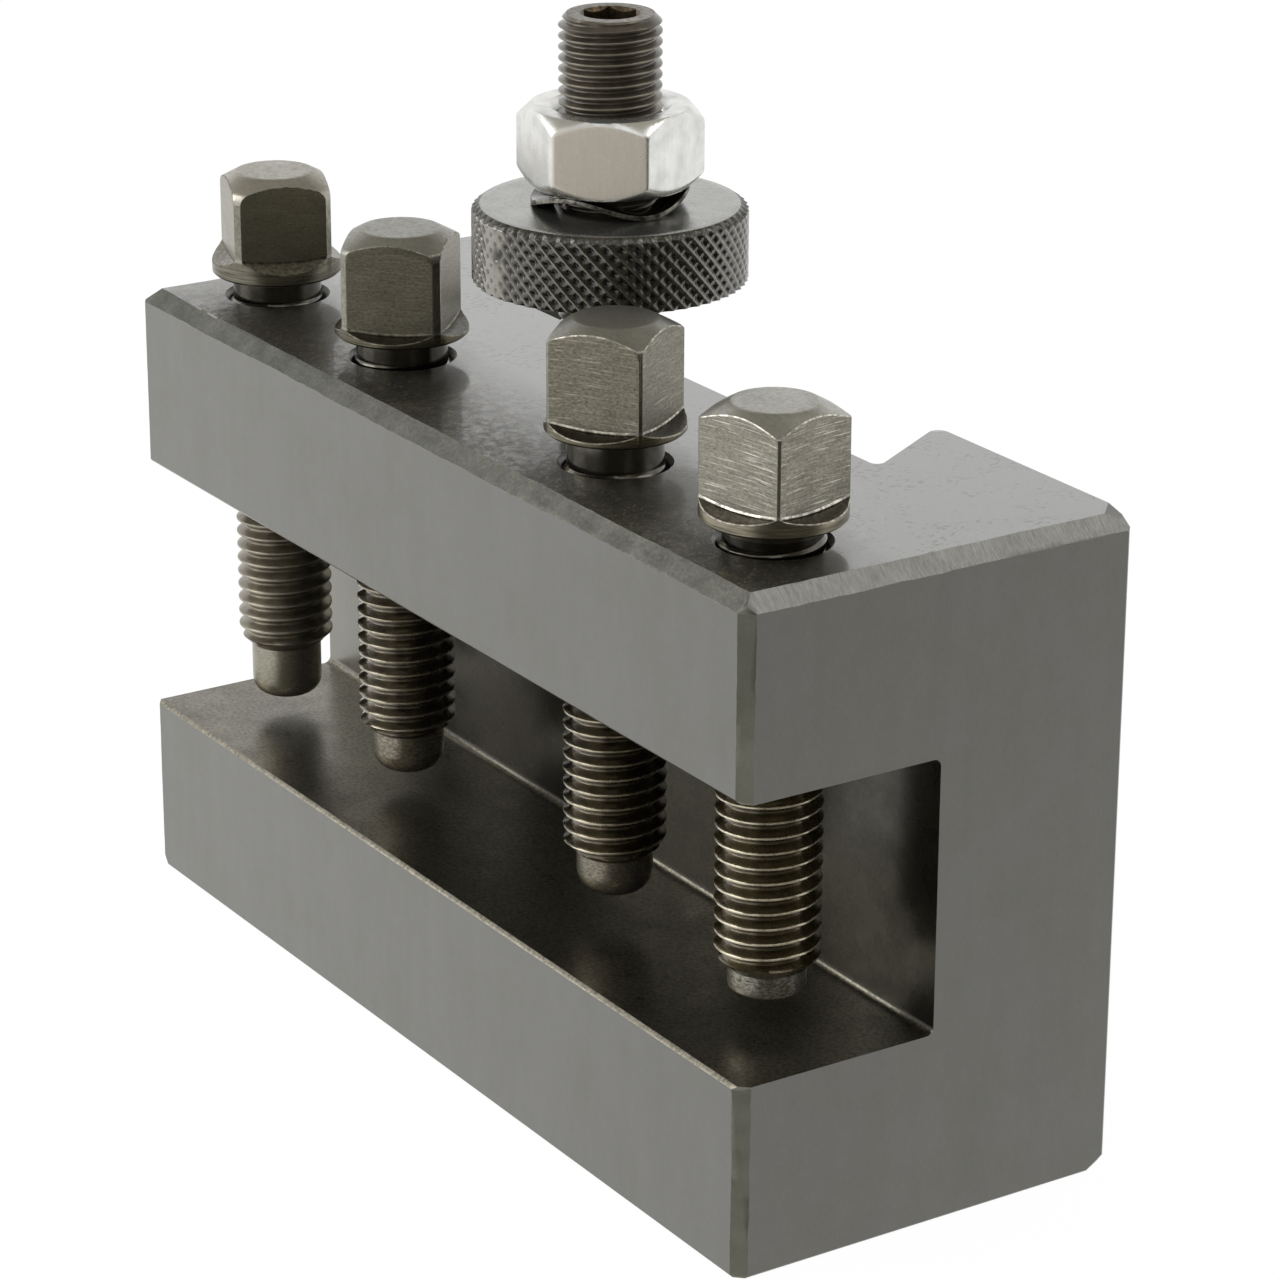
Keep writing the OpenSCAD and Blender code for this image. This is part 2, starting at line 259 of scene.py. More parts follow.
def groundFinish():
    # Ground face: very faint upright streaks, a slow cloud, a soft mottle and a fine grain. Painted shade
    # makes the tone fall along the length, darker towards the right end, and painted light steps the end face
    # up
    finish, tree, shader = newFinish("ground_face", 0.92, 0.43)
    streak = grain(tree, 1.0, 3, stretch=(0.33, 0.33, 0.045))
    cloud = grain(tree, 0.11, 3)
    mottle = grain(tree, 0.7, 4, 0.6, stretch=(1, 1, 0.6))
    fine = grain(tree, 4.0, 2, stretch=(1, 1, 0.4))
    cool = tuple(c * k for c, k in zip(tones["ground"], (1.03, 1.03, 1.06)))
    colour = tint(tree, ramp(tree, cloud, 0.35, 0.65), tones["ground"], cool)
    for amount, share in ((streak, 0.018), (mottle, 0.022), (fine, 0.03)):
        colour = lighter(tree, colour, amount, share)
    along = axisOf(tree, placeIn(tree), 0)
    # Painted shade falling along the length, and painted light on the end face
    tone = sums(tree, "ADD", ramp(tree, along, *tones["fall"]), ramp(tree, along, *tones["endPaintedLight"]))
    feed(tree, shader, times(tree, colour, tone), ramp(tree, streak, 0.3, 0.7, 0.44, 0.42))
    bumped(tree, shader, fine, 0.0015)
    return finish


def fromHoles(tree):
    # Distance from the nearest screw hole's axis, and the place it is taken at
    spot = placeIn(tree, (1, 1, 0))
    away = None
    for x in block["holes"]:
        axis = (x, block["holeRow"], 0)
        reach = put(tree, "VectorMath", {0: spot, 1: axis}, output=1, operation="DISTANCE")
        away = reach if away is None else sums(tree, "MINIMUM", away, reach)
    return away, spot


def oiledFinish():
    # Top face under oil: dark dashes, golden dust, and towards the front a duller film darkened by painted
    # dark reflection;
    # round each screw hole a ragged patch of painted shadow and reflection of the heads, with specks of swarf
    # at its mouth
    finish, tree, shader = newFinish("oiled_top", 0.9, 0.3, coat=1.0, coatRoughness=0.06)
    away, spot = fromHoles(tree)
    mouth = block["holeRadius"]
    blotch = grain(tree, 0.9, 4, 0.65)
    patch = grain(tree, 0.16, 3)
    wave = grain(tree, 0.5, 2, stretch=(0.6, 1, 1))
    dash = grain(tree, 2.2, 2, 0.6, stretch=(1.3, 0.6, 1))
    dust = grain(tree, 3.4, 2, 0.5, shift=(5, 2, 0))
    chips = grain(tree, 4.5, 2)
    forward = ramp(tree, axisOf(tree, spot, 1), *tones["dustAndReflectionFront"])
    inward = ramp(tree, axisOf(tree, spot, 0), *tones["dullAndReflectionLeft"])
    # Painted shadow and reflection of the screw heads: a ragged dark patch round each hole
    ragged = sums(tree, "ADD", away, ramp(tree, blotch, 0.3, 0.7, -1.8, 1.8))
    dark = ramp(tree, ragged, mouth + 0.6, mouth + 3.6, 0.8, 0.0)
    atMouth = ramp(tree, away, mouth + 0.1, mouth + 1.0, 1, 0)
    swarf = sums(tree, "MULTIPLY", atMouth, ramp(tree, chips, 0.6, 0.66))
    dashes = sums(tree, "ADD", dash, ramp(tree, patch, 0.35, 0.65, -0.09, 0.09))
    dashes = ramp(tree, dashes, 0.62, 0.67, 0, 0.85)
    gold = sums(tree, "MULTIPLY", forward, ramp(tree, dust, 0.58, 0.66, 0, 0.6))
    # Darker towards the front and less so at the left end: painted dark reflection, with a duller, rougher
    # film
    dull = sums(tree, "MULTIPLY", forward, inward)
    dull = sums(tree, "MULTIPLY", dull, ramp(tree, blotch, 0.38, 0.58, 0.55, 1.0))
    colour = tint(tree, dull, tones["oiled"], tones["paintedDarkReflection"])
    colour = lighter(tree, tint(tree, dark, colour, tones["oilAndShadeDark"]), blotch, 0.035)
    colour = tint(tree, dashes, colour, tones["oilAndShadeDark"])
    colour = tint(tree, gold, colour, tones["oilGold"])
    colour = tint(tree, swarf, colour, tones["swarf"])
    feed(tree, shader, colour, ramp(tree, dull, 0, 1, 0.24, 0.4), Metallic=ramp(tree, dull, 0, 1, 0.9, 0.6),
         Coat_Weight=ramp(tree, dull, 0, 1, 1.0, 0.2))
    film = sums(tree, "SUBTRACT", sums(tree, "MULTIPLY", wave, 0.05), sums(tree, "MULTIPLY", dashes, 0.3))
    specks = sums(tree, "ADD", sums(tree, "MULTIPLY", gold, 0.5), swarf)
    bumped(tree, shader, sums(tree, "ADD", film, specks), 0.01, coat=True)
    return finish


def chamferFinish(name, tone, stretch, depth, roughness, contrast, speckle=0.06):
    # Ground bevel: scratches across it, and a soft speckle
    finish, tree, shader = newFinish(name, 0.92, roughness)
    scratch = grain(tree, 1.0, 4, 0.7, stretch=stretch)
    speck = grain(tree, 3.0, 3)
    blotch = grain(tree, 0.35, 3)
    colour = tones[tone]
    for amount, share in ((scratch, contrast), (speck, speckle), (blotch, speckle)):
        colour = lighter(tree, colour, amount, share)
    feed(tree, shader, colour, ramp(tree, scratch, 0.3, 0.7, roughness + 0.03, roughness - 0.03))
    bumped(tree, shader, scratch, depth)
    return finish


def slotFinish(name, tone, roughness, leftShare):
    # Milled and blackened, oily: speckled brown over olive grey. On the back wall the dark tone is painted
    # shade, and where leftShare is set it grows lighter towards the left end
    finish, tree, shader = newFinish(name, 0.92, roughness, coat=0.2, coatRoughness=0.2)
    light = tones[tone]
    speck = grain(tree, 2.6, 4, 0.65)
    patch = grain(tree, 0.25, 3)
    spots = ramp(tree, grain(tree, 2.0, 2, shift=(7, 3, 5)), 0.66, 0.74, 0, 0.5)
    colour = tint(tree, ramp(tree, speck, 0.3, 0.6), tones["slotDark"], light)
    colour = tint(tree, spots, lighter(tree, colour, patch, 0.1), scaled(light, 1.4))
    # Lighter towards the left end, where the wall's painted shade gives way
    bare = ramp(tree, axisOf(tree, placeIn(tree), 0), *tones["wallShadeFadesLeft"], leftShare, 0.0)
    colour = tint(tree, bare, colour, tones["slotWallUnshaded"])
    feed(tree, shader, colour, ramp(tree, patch, 0.3, 0.7, roughness + 0.06, roughness - 0.06))
    bumped(tree, shader, speck, 0.003)
    return finish


def edgeFinish(name, bright, dull, scale, byHoles=False):
    # Rubbed edge: bare metal in some lengths, dull oxide in others, and dark round the screw holes with oil
    # and painted shade
    finish, tree, shader = newFinish(name, 0.95, 0.36)
    length = grain(tree, scale, 3, 0.6)
    colour = tint(tree, ramp(tree, length, 0.42, 0.6), dull, bright)
    if byHoles:
        # Dark at the holes' mouths: oil and painted shade
        mouth = block["holeRadius"]
        oil = ramp(tree, fromHoles(tree)[0], mouth + 0.2, mouth + 0.5, 1, 0)
        colour = tint(tree, oil, colour, tones["oilAndShadeDark"])
    feed(tree, shader, colour, ramp(tree, length, 0.3, 0.7, 0.5, 0.3))
    return finish


blockFinish = {
    "ground": groundFinish(), "oiled": oiledFinish(),
    "endChamfer": chamferFinish("end_chamfer", "endChamfer", (0.8, 6.5, 0.8), 0.006, 0.4, 0.24),
    "slotFloor": slotFinish("slot_floor", "slotFloor", 0.32, 0.0),
    "corner": chamferFinish("corner_chamfer", "corner", (0.6, 0.6, 0.12), 0.001, 0.42, 0.04),
    "edge": edgeFinish("rubbed_edge", tones["rubbed"], tones["edge"], 0.5, byHoles=True),
    # The front chamfer: the same ground bevel, darkened by painted shade
    "frontChamfer": chamferFinish("front_chamfer_shaded", "frontChamfer", (2.4, 1.8, 1.8), 0.0025, 0.42, 0.1, 0.2),
    "shadedSlotWall": slotFinish("slot_wall_shaded", "shadedSlotWall", 0.28, 1.0)}
blockPart = {name: index for index, name in enumerate(blockFinish)}


def blockMesh():
    # Copy of the CAD solid: the chamfers are cut across every few tenths, and their borders moved within the
    # faces beside them by wander(); then the worn corners are cut off
    slanting = 1.3  # a chamfer's normal, times its direction, is above this
    touching = 0.02
    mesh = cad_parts["holder_body"].data.copy()
    work = bmesh.new()
    work.from_mesh(mesh)
    bmesh.ops.remove_doubles(work, verts=work.verts, dist=weldReach)
    halfX, halfY, top = block["length"] / 2, block["depth"] / 2, block["height"]
    c, (left, right) = block["topChamfer"], block["corner"]
    # Chamfers: the axis they run along, their direction, the wobble's share, and each border as (axis moved,
    # two fixed places, seed)
    chamfers = [
        (0, (0, -1, 1), 1, [(2, {1: -halfY, 2: top - c}, 1), (1, {1: -halfY + c, 2: top}, 2)]),
        (1, (1, 0, 1), 1, [(2, {0: halfX, 2: top - c}, 3), (0, {0: halfX - c, 2: top}, 4)]),
        (1, (-1, 0, 1), 1, [(2, {0: -halfX, 2: top - c}, 5), (0, {0: -halfX + c, 2: top}, 6)]),
        (2, (1, -1, 0), 1, [(0, {0: halfX - right, 1: -halfY}, 7), (1, {0: halfX, 1: -halfY + right}, 8)]),
        (2, (-1, -1, 0), 0.3, [(0, {0: left - halfX, 1: -halfY}, 9), (1, {0: -halfX, 1: left - halfY}, 10)])]
    for along, direction, _, _ in chamfers:
        faces = [f for f in work.faces if f.normal.dot(direction) > slanting]
        places = [v.co[along] for f in faces for v in f.verts]
        for at in np.arange(min(places), max(places), block["cut"] * mm)[1:]:
            faces = [f for f in work.faces if f.normal.dot(direction) > slanting]
            edges = {e for f in faces for e in f.edges}
            verts = {v for f in faces for v in f.verts}
            spot, facing = [0, 0, 0], [0, 0, 0]
            spot[along], facing[along] = at, 1
            bmesh.ops.bisect_plane(work, geom=[*verts, *edges, *faces], plane_co=spot, plane_no=facing)
    for vert in work.verts:
        vert.co /= mm
    for along, _, share, borders in chamfers:
        for across, fixed, seed in borders:
            on = [v for v in work.verts if all(abs(v.co[axis] - at) < touching for axis, at in fixed.items())]
            run = np.array([v.co[along] for v in on])
            fade = ease((run - run.min()) / block["calmEnds"]) * ease((run.max() - run) / block["calmEnds"])
            for vert, step in zip(on, share * fade * wander(run, seed, block["wobble"])):
                vert.co[across] += step
    for spot, facing in block["worn"]:
        everything = [*work.verts, *work.edges, *work.faces]
        cut = bmesh.ops.bisect_plane(work, geom=everything, plane_co=spot, plane_no=facing, clear_outer=True)
        rim = [e for e in cut["geom_cut"] if isinstance(e, bmesh.types.BMEdge)]
        bmesh.ops.contextual_create(work, geom=rim)
    for vert in work.verts:
        vert.co *= mm
    work.normal_update()
    work.to_mesh(mesh)
    work.free()
    return mesh


def blockFinishes(mesh):
    # Finish of each face by its place and direction
    count = len(mesh.polygons)
    centre, normal = np.empty(count * 3), np.empty(count * 3)
    mesh.polygons.foreach_get("center", centre)
    mesh.polygons.foreach_get("normal", normal)
    x, y, z = centre.reshape(-1, 3).T / mm
    toX, toY, toZ = normal.reshape(-1, 3).T
    finish = np.full(count, blockPart["ground"])
    top = block["height"]
    finish[(toZ > 0.95) & (z > top - 0.1)] = blockPart["oiled"]
    slant = (toZ > 0.5) & (toZ < 0.9) & (z > top - 2)
    finish[slant] = np.where(toY[slant] < -0.5, blockPart["frontChamfer"], blockPart["endChamfer"])
    inSlot = (y < block["slotBack"] + 0.1) & (z > block["slotFloor"] - 0.4) & (z < block["slotCeiling"] + 0.4)
    inSlot &= (np.abs(toX) < 0.5) & ((np.abs(toZ) > 0.1) | (y > -1))
    finish[inSlot] = np.where(toY[inSlot] < -0.9, blockPart["shadedSlotWall"], blockPart["slotFloor"])
    upright = (np.abs(toZ) < 0.2) & (np.abs(toX) > 0.5) & (np.abs(toY) > 0.5)
    finish[upright & (np.abs(x) > 50)] = blockPart["corner"]
    mesh.polygons.foreach_set("material_index", finish.astype(np.int32))


def makeBlock():
    mesh = blockMesh()
    mesh.materials.clear()
    blockFinishes(mesh)
    mesh.shade_smooth()
    piece = place("block", mesh, "root", "holder_body", blockFinish.values())
    rounding = piece.modifiers.new("edges", "BEVEL")
    rounding.width = block["edge"] * mm
    rounding.segments = 2
    rounding.limit_method = "ANGLE"
    rounding.angle_limit = math.radians(30)
    rounding.harden_normals = True
    rounding.material = blockPart["edge"]
    even = piece.modifiers.new("flat_faces", "WEIGHTED_NORMAL")
    even.mode = "FACE_AREA"
    even.weight = 100
    even.keep_sharp = True


makeBlock()


def speckledFinish(name, light, dark, roughness, scale, depth, coat=0.0, stretch=(1, 1, 1), low=0.36,
                   high=0.64, metallic=0.92):
    # Two tones in a speckle, drawn out by stretch, over a slow cloud
    finish, tree, shader = newFinish(name, metallic, roughness, coat, 0.15)
    speck = grain(tree, scale, 4, 0.62, stretch=stretch)
    cloud = grain(tree, scale * 0.12, 2)
    colour = lighter(tree, tint(tree, ramp(tree, speck, low, high), dark, light), cloud, 0.1)
    feed(tree, shader, colour, ramp(tree, speck, 0.3, 0.7, roughness + 0.07, roughness - 0.06))
    bumped(tree, shader, speck, depth)
    return finish


def threadFinish(name, look, crestWidth, coatRoughness):
    # The chart's height is the depth in the thread: rubbed at the crest, oily and brown below it
    finish, tree, shader = newFinish(name, look["metal"], look["threadRough"], look["coat"], coatRoughness)
    depth = axisOf(tree, put(tree, "TexCoord", {}, output="UV"), 1)
    brown = grain(tree, 0.4, 2)
    wear = grain(tree, 1.3, 2)
    edge = sums(tree, "ADD", depth, ramp(tree, wear, 0.35, 0.65, -0.02, 0.02))
    colour = tint(tree, ramp(tree, brown, 0.38, 0.62), look["flankDark"], look["flank"])
    colour = tint(tree, ramp(tree, edge, crestWidth, 0.0), colour, look["crest"])
    rough = look["threadRough"]
    feed(tree, shader, colour, ramp(tree, wear, 0.3, 0.7, rough + 0.05, rough - 0.07))
    bumped(tree, shader, wear, 0.004, coat=True)
    return finish


# One pitch of a 60 degree thread from crest to crest: (share of the pitch, share of the depth)
threadShape = np.array([(0, 0), (0.045, 0), (0.08, 0.045), (0.16, 0.275), (0.28, 0.614), (0.4, 0.945),
                        (0.45, 0.99), (0.5, 1), (0.55, 0.99), (0.6, 0.945), (0.72, 0.614), (0.84, 0.275),
                        (0.92, 0.045), (0.955, 0)])


def threadBelt(angle, low, high, s, upper, lower, finish, centre, runOut=(0, 0)):
    # Helix: each row climbs one pitch a turn, z = start + pitch a / 360, r = outer - depth shape(start); z is
    # held between low and high, and r between lower(z) and upper(z), so the thread runs out at both ends;
    # runOut is the finish of its upper end and how far down that goes
    pitch, outer, depth = s["pitch"], s["thread"], s["depth"]
    unrubbed = 1.6 * pitch  # the crests of the upper end keep the flanks' tone
    turns = int(math.ceil((high - low) / pitch)) + 2
    along = (np.arange(turns)[:, None] + threadShape[None, :, 0]).ravel()
    start = low - 2 * pitch + s["phase"] % 1 * pitch
    height = (start + along * pitch)[:, None] + pitch * ((angle - angle[0]) / turn)[None, :]
    share = np.tile(threadShape[:, 1], turns)[:, None] + 0 * height
    height = np.clip(height, low, high)
    radius = np.clip(outer - depth * share, lower(height), upper(height))
    deep = np.maximum(share, (outer - radius) / depth) + (height > high - unrubbed)
    finish = np.where(height[:-1, :-1] > high - runOut[1], runOut[0], finish)
    return beltOf(radius, height, angle, finish, centre, chartOf(angle, deep))


# Clamp screws: a list holds one value for each screw
screw = {
    "x": block["holes"], "y": block["holeRow"], "lift": [2.5, 2.45, 3.2, 2.2],
    "tip": [21.35, 21.5, 22.5, 22.45], "turn": [70.9, 46.5, 32.3, 13.6],
    "acrossFlats": [10.15, 10.15, 9.8, 9.75],
    "thread": 5.0, "pitch": 1.5, "depth": 0.92, "phase": [0.87, 0.05, 0.1, 0.67],
    # Neck: radius, length, flare into the thread, over what length the root rises to it, and how much of
    # the thread's end has its finish
    "neck": 4.6, "neckLength": [2.3, 2.25, 3.0, 1.0], "flare": [1.2, 1.2, 1.2, 0.3], "rise": 1.6,
    "runOut": [0.58, 0.58, 0.58, 1.3],
    "dog": 3.7, "dogLength": [5.8, 4.4, 4.1, 2.2], "tipRound": [1.8, 2.2, 2.2, 0.4],
    # Head: turned blank and its edge, foot of the flats, how the ledge falls and sags, height, top
    "blank": 6.75, "edge": 0.25, "foot": [2.0, 0.95, 0.95, 1.5], "fall": [22, 12, 10, 9], "sag": 0.35,
    "head": 10.8, "disc": 4.0, "cone": 29, "shoulder": [1.3, 1.0, 0.6, 0.25],
    # Worn edge over a flat, burr under it, and how the cutter marks tilt and bow
    "soften": 0.1, "lip": [0.0, 0.06, 0.1, 0.14], "tilt": [0.05, 0.0, 0.0, 0.02], "bow": 0.006}

# Steel of each screw. Flats: two tones, share of bright scratches, depth of the cutter marks and roughness;
# ledge is a share of the rim's tone, a darker copy that is painted shade, lightest on the first screw whose
# ledge is
# lit. Thread: crest, flank, its dark patches, share of metal, coat, roughness
screwLook = {
    "flat": [(0.33, 0.31, 0.24), (0.26, 0.241, 0.187), (0.25, 0.234, 0.184), (0.35, 0.332, 0.278)],
    "flatDark": [(0.19, 0.177, 0.132), (0.105, 0.095, 0.066), (0.095, 0.087, 0.062), (0.17, 0.158, 0.122)],
    "scratch": [0.2, 0.5, 0.5, 1.0], "cut": [0.004, 0.01, 0.009, 0.02], "rough": [0.32, 0.36, 0.38, 0.38],
    "burr": [(0.24, 0.225, 0.175), (0.34, 0.32, 0.25), (0.6, 0.57, 0.47), (0.78, 0.75, 0.66)],
    "rim": [(0.25, 0.235, 0.18), (0.17, 0.155, 0.11), (0.22, 0.197, 0.135), (0.34, 0.308, 0.228)],
    "ledge": [0.95, 0.5, 0.36, 0.33],
    "cone": [(0.4, 0.38, 0.33), (0.3, 0.295, 0.26), (0.3, 0.295, 0.26), (0.4, 0.395, 0.355)],
    "crest": [(0.36, 0.335, 0.27), (0.34, 0.3, 0.22), (0.42, 0.372, 0.27), (0.6, 0.54, 0.4)],
    "flank": [(0.27, 0.243, 0.187), (0.15, 0.129, 0.085), (0.12, 0.099, 0.056), (0.12, 0.096, 0.046)],
    "flankDark": [(0.17, 0.15, 0.11), (0.08, 0.066, 0.042), (0.062, 0.05, 0.028), (0.07, 0.055, 0.026)],
    "metal": [0.85, 0.88, 0.88, 0.8], "coat": [0.3, 1.0, 1.0, 1.0], "threadRough": [0.36, 0.24, 0.24, 0.26],
    "dog": [(0.36, 0.34, 0.275), (0.34, 0.312, 0.25), (0.27, 0.248, 0.195), (0.36, 0.345, 0.295)],
    "dogDark": [(0.27, 0.252, 0.2), (0.15, 0.134, 0.102), (0.14, 0.125, 0.095), (0.1, 0.09, 0.068)],
    "neck": (0.1, 0.093, 0.074), "neckDark": (0.065, 0.059, 0.045),
    "corner": (0.3, 0.29, 0.24), "cornerDark": (0.2, 0.19, 0.15)}

# Place of each finish in screwFinishes
screwPart = {name: index for index, name in enumerate(
    ("cone", "flat", "thread", "dog", "neck", "rim", "ledge", "burr", "corner"))}


def ofScrew(table, number):
    return {key: value[number] if isinstance(value, list) else value for key, value in table.items()}


def flatFinish(name, look):
    # Milled flat on its own chart: speckle, cutter marks across it, bright scratches and small dark chips
    finish, tree, shader = newFinish(name, 0.92, look["rough"])
    speck = grain(tree, 3.6, 4, 0.75, stretch=(0.7, 1.3, 1), source="UV")
    cloud = grain(tree, 0.45, 3, stretch=(0.6, 1, 1), source="UV")
    line = grain(tree, 1.0, 5, 0.75, stretch=(0.3, 4.6, 1), source="UV")
    other = grain(tree, 1.0, 5, 0.7, stretch=(0.2, 5.6, 1), shift=(3, 8, 1), source="UV")
    chip = grain(tree, 1.6, 4, 0.7, stretch=(1.0, 2.6, 1), shift=(6, 1, 1), source="UV")
    colour = tint(tree, ramp(tree, speck, 0.3, 0.66), look["flatDark"], look["flat"])
    colour = lighter(tree, lighter(tree, colour, cloud, 0.1), line, 0.14 + 0.22 * look["scratch"])
    colour = tint(tree, ramp(tree, chip, 0.6, 0.68, 0, 0.6), colour, scaled(look["flatDark"], 0.45))
    colour = tint(tree, ramp(tree, other, 0.56, 0.64, 0, 0.9 * look["scratch"]), colour, look["burr"])
    feed(tree, shader, colour, ramp(tree, speck, 0.3, 0.7, look["rough"] + 0.06, look["rough"] - 0.06))
    height = sums(tree, "ADD", sums(tree, "MULTIPLY", line, 0.7), sums(tree, "MULTIPLY", speck, 0.3))
    bumped(tree, shader, height, look["cut"])
    return finish


def screwFinishes(name, look):
    # The rim's stretch draws the speckle out into fine turned rings
    cone, rim, burr = look["cone"], look["rim"], look["burr"]
    # The ledge: the rim's tone darkened by a share, painted shade
    ledge = scaled(rim, look["ledge"])
    return [speckledFinish(name + "_cone", cone, scaled(cone, 0.7), 0.34, 2.2, 0.004, low=0.2, high=0.6),
            flatFinish(name + "_flat", look),
            threadFinish(name + "_thread", look, 0.055, 0.07),
            speckledFinish(name + "_dog", look["dog"], look["dogDark"], 0.3, 2.4, 0.003, stretch=(1, 1, 2.4),
                           metallic=look["metal"]),
            speckledFinish(name + "_neck", look["neck"], look["neckDark"], 0.2, 1.2, 0.002, coat=0.5),
            speckledFinish(name + "_rim", rim, scaled(rim, 0.4), 0.27, 1.0, 0.006, stretch=(0.25, 0.25, 7)),
            speckledFinish(name + "_ledge", ledge, scaled(ledge, 0.4), 0.3, 2.4, 0.006),
            edgeFinish(name + "_burr", burr, scaled(burr, 0.4), 1.5),
            speckledFinish(name + "_corner", look["corner"], look["cornerDark"], 0.2, 2.0, 0.002)]


def headAngles(half, blank):
    # Columns of one quarter, close together where a flat meets the turned blank; then four quarters
    meet = math.acos(half / blank)
    narrow, margin, overlap = 0.68, 0.09, 0.06
    step = np.array([-4, -1.6, -0.6, 0, 0.6, 1.6, 4]) * math.radians(0.8)
    middle = [math.pi / 4] if meet < narrow else []
    other = rightAngle - meet
    even = np.linspace(-meet + margin, meet - margin, 12)
    quarter = np.round(np.concatenate([even, meet + step, middle, other + step]), 6)
    quarter = quarter[(quarter >= -meet + overlap) & (quarter < other + overlap)]
    around = np.unique(np.round(np.concatenate([quarter + q * rightAngle for q in range(4)]), 6))
    return np.append(around, around[0] + turn)


